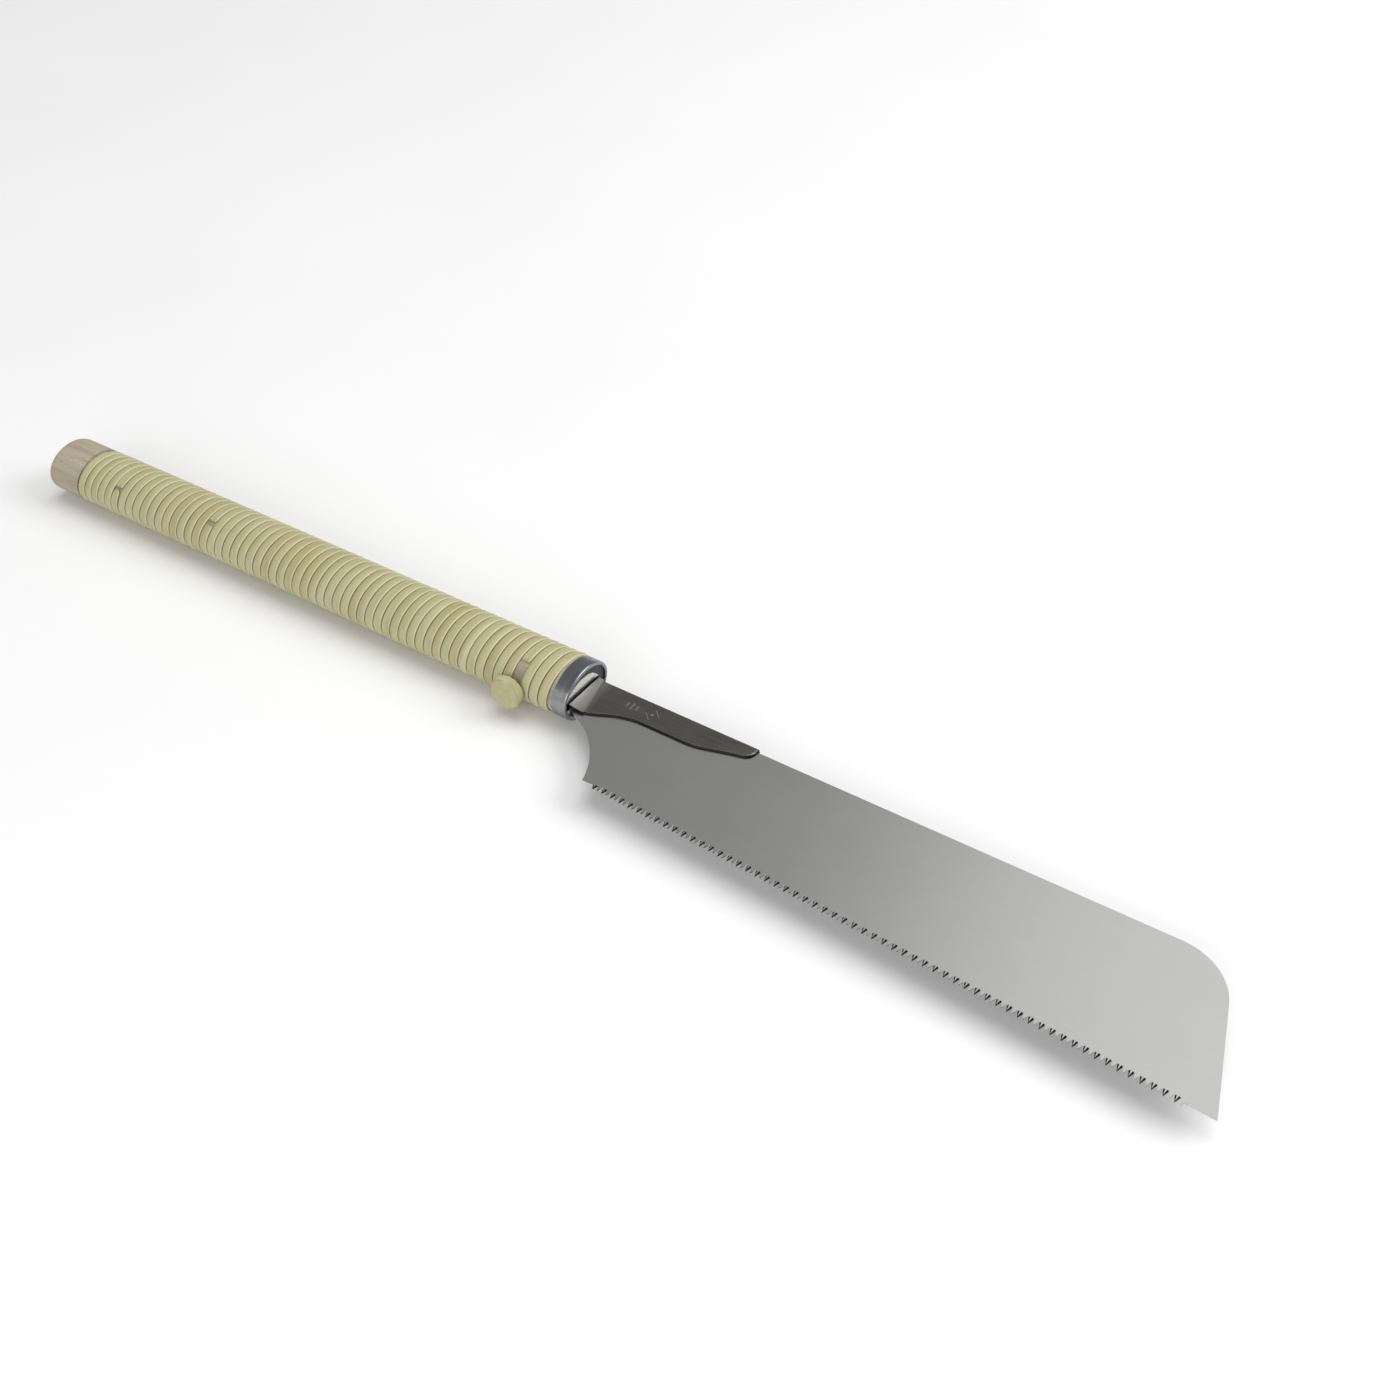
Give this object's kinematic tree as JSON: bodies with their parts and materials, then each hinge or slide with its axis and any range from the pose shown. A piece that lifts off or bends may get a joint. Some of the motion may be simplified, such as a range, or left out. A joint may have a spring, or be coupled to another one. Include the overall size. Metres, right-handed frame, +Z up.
{
  "type": "pull saw",
  "caption": "Single-edged pull saw: thin toothed blade with a folded steel back, slid into a ferruled, rattan-bound oval handle and clamped there by a knurled knob.",
  "frame": {"origin": "under the centre of the saw's outline, on the plane that it lies on", "axes": "+X from the handle's butt to the blade's toe, along the handle; +Y towards the saw's back, away from the teeth; +Z up, square to the blade's flat side"},
  "size_m": [0.6262, 0.0804, 0.0254],
  "materials": {
    "handle_wood": "bare, fine grained, weathered grey-beige",
    "rattan": "pale cream split rattan, satin skin, brown grooves",
    "ferrule_steel": "satin blue-grey",
    "dark_steel": "dark satin",
    "jaw_metal": "brushed, light",
    "pin_steel": "plain turned",
    "brass": "turned",
    "knob_plastic": "matte cream-yellow, knurled rim",
    "blade_steel": "fine ground, satin, darkened tooth tips",
    "spine_steel": "warm dark grey satin with fine scratches"
  },
  "bodies": {
    "handle": {"core_upper_half": "handle_wood", "core_lower_half": "handle_wood", "rattan_butt_strand": "rattan", "rattan_second_strand": "rattan", "rattan_main_strand": "rattan", "rattan_front_strand": "rattan", "ferrule": "ferrule_steel", "mouth_plate": "dark_steel", "jaw_upper": "jaw_metal", "jaw_lower": "jaw_metal", "jaw_spacer": "jaw_metal", "jaw_pins": "pin_steel", "tang_stop_pin": "pin_steel", "thread_bush": "brass"},
    "clamp": {"clamp_shoe": "brass"},
    "knob": {"knob": "knob_plastic", "knob_screw": "pin_steel"},
    "blade": {"blade": "blade_steel", "spine": "spine_steel", "tang_rivets": "pin_steel"}
  },
  "joints": [
    {"name": "clamp_slide", "type": "slide", "parent": "handle", "child": "clamp", "axis": [0, -1, 0], "range_m": [0, 0.0016]},
    {"name": "knob_turn", "type": "hinge", "parent": "clamp", "child": "knob", "pos_m": [-0.0291, 0.00696, 0.0127], "axis": [0, -1, 0], "range_deg": [0, 720]},
    {"name": "blade_release", "type": "slide", "parent": "handle", "child": "blade", "axis": [1, 0, 0], "range_m": [0, 0.046]}
  ],
  "couplings": [
    {"joint": "knob_turn", "follows": "clamp_slide", "rad_per_m": 7854}
  ]
}
